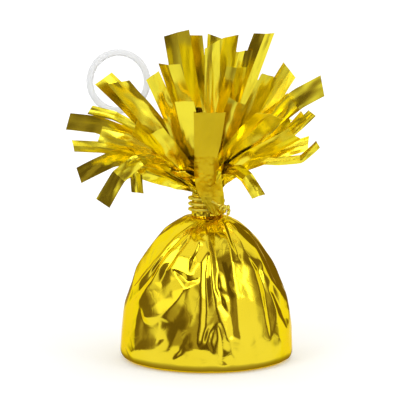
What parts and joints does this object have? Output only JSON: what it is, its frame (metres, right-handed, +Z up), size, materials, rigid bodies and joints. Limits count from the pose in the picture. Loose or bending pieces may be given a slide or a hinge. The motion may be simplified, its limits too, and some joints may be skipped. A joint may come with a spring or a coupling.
{
  "type": "balloon weight",
  "caption": "Plaster-filled dome wrapped in gold foil, tied at the neck under slit foil strips, with a clear ribbon ring.",
  "frame": {"origin": "middle of the flat underside, on the surface that the weight stands on", "axes": "+Z up through the neck, -Y towards the viewer, +X to the viewer's right"},
  "size_m": [0.1074, 0.0881, 0.1399],
  "materials": {
    "gold_foil": "mirror-bright metallised film, creased",
    "tie_foil": "metallised sleeve, crumpled",
    "tie_steel": "drawn wire",
    "clear_plastic": "milky clear moulding",
    "cup_plastic": "thin smooth moulding",
    "plaster": "cast, matte",
    "board": "matte grey-brown board"
  },
  "bodies": {
    "root": {"plaster_fill": "plaster", "dome_cup": "cup_plastic", "base_board": "board", "foil_wrap": "gold_foil", "neck_gather": "gold_foil", "tie_sleeve": "tie_foil", "tie_wire": "tie_steel", "ring_anchor": "clear_plastic", "outer_fringe_left": "gold_foil", "outer_fringe_front": "gold_foil", "outer_fringe_right": "gold_foil", "outer_fringe_back": "gold_foil", "middle_fringe_left": "gold_foil", "middle_fringe_front": "gold_foil", "middle_fringe_right": "gold_foil", "middle_fringe_back": "gold_foil", "crown_fringe_left": "gold_foil", "crown_fringe_front": "gold_foil", "crown_fringe_right": "gold_foil", "crown_fringe_back": "gold_foil"},
    "ring": {"tie_ring": "clear_plastic"}
  },
  "joints": [
    {"name": "ring_swing", "type": "hinge", "parent": "root", "child": "ring", "pos_m": [0, 0, 0.06952], "axis": [-0.7815, 0, -0.6239], "range_deg": [0, 22], "stiffness_Nm_per_rad": 0.01}
  ]
}
